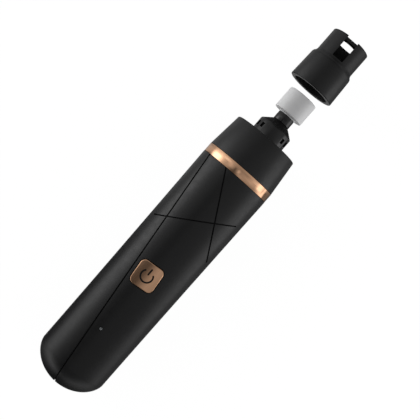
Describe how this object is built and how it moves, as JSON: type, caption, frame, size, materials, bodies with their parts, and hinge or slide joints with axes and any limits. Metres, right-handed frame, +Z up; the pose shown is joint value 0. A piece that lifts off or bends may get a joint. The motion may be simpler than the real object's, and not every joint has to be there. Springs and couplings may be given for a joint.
{
  "type": "pet nail grinder",
  "caption": "Slim cordless rotary nail grinder for pets: rounded handle, trim band, tapered nose, cup grinding wheel, power button and pull-off slotted guard cap.",
  "frame": {"origin": "on the shallow flat along the back of the handle, under the handle axis, 66 mm forward of the tail tip", "axes": "+X along the handle from the rounded tail to the grinding wheel, +Z up through the power button, -Z out of the back flat"},
  "size_m": [0.1976, 0.0352, 0.0338],
  "materials": {
    "satin_black_plastic": "satin moulded ABS, soft black",
    "gloss_black_plastic": "polished black nylon",
    "rose_gold_trim": "brushed and tinted rose gold",
    "grey_abrasive": "fine light grey abrasive",
    "pale_plastic": "light grey moulded plastic",
    "clear_lens": "clear acrylic",
    "white_nylon": "natural nylon",
    "steel": "plated steel",
    "capacitor_can": "drawn aluminium",
    "sintered_bronze": "sintered bronze",
    "copper": "copper",
    "ferrite": "dark ferrite",
    "carbon": "pressed carbon",
    "cell_wrap": "blue heat-shrink sleeve",
    "board_green": "green solder mask",
    "chip_black": "black moulded epoxy",
    "led_package": "white LED package",
    "red_lead": "red insulation",
    "black_lead": "black insulation"
  },
  "bodies": {
    "handle": {"front_housing": "satin_black_plastic", "rear_housing": "satin_black_plastic", "nose_collar": "satin_black_plastic", "nose_hub": "gloss_black_plastic", "trim_band": "rose_gold_trim", "indicator_lens": "clear_lens", "motor_bracket": "white_nylon", "motor_end_cap": "white_nylon", "housing_screw_tail": "steel", "housing_screw_middle": "steel", "motor_can": "steel", "motor_screw_left": "steel", "motor_screw_right": "steel", "battery_tab_positive": "steel", "battery_tab_negative": "steel", "charge_socket_shell": "steel", "board_screw_tail": "steel", "board_screw_front": "steel", "capacitor": "capacitor_can", "nose_bush": "sintered_bronze", "motor_front_bush": "sintered_bronze", "motor_rear_bush": "sintered_bronze", "motor_terminal_left": "copper", "motor_terminal_right": "copper", "motor_magnet_upper": "ferrite", "motor_magnet_lower": "ferrite", "inductor": "ferrite", "motor_brush_left": "carbon", "motor_brush_right": "carbon", "battery_cell": "cell_wrap", "charge_board": "board_green", "circuit_board": "board_green", "charge_socket_tongue": "chip_black", "switch_body": "chip_black", "control_chip": "chip_black", "status_led": "led_package", "motor_lead_left": "red_lead", "charge_lead_left": "red_lead", "battery_lead_positive": "red_lead", "motor_lead_right": "black_lead", "charge_lead_right": "black_lead", "battery_lead_negative": "black_lead"},
    "spindle": {"motor_shaft": "steel", "commutator": "copper", "armature_core": "steel", "armature_coil_1": "copper", "armature_coil_2": "copper", "armature_coil_3": "copper", "arbor": "gloss_black_plastic", "wheel_core": "pale_plastic", "grinding_wheel": "grey_abrasive"},
    "power_button": {"power_button": "rose_gold_trim", "switch_plunger": "chip_black"},
    "guard_cap": {"guard_cap": "satin_black_plastic"}
  },
  "joints": [
    {"name": "spindle_spin", "type": "hinge", "parent": "handle", "child": "spindle", "pos_m": [0.0848, 0, 0.0162], "axis": [1, 0, 0], "continuous": true},
    {"name": "button_press", "type": "slide", "parent": "handle", "child": "power_button", "axis": [0, 0, -1], "range_m": [0, 0.0005], "stiffness_N_per_m": 600, "springref_m": -0.001},
    {"name": "cap_pull", "type": "slide", "parent": "handle", "child": "guard_cap", "axis": [1, 0, 0], "range_m": [-0.0294, 0.02]}
  ]
}
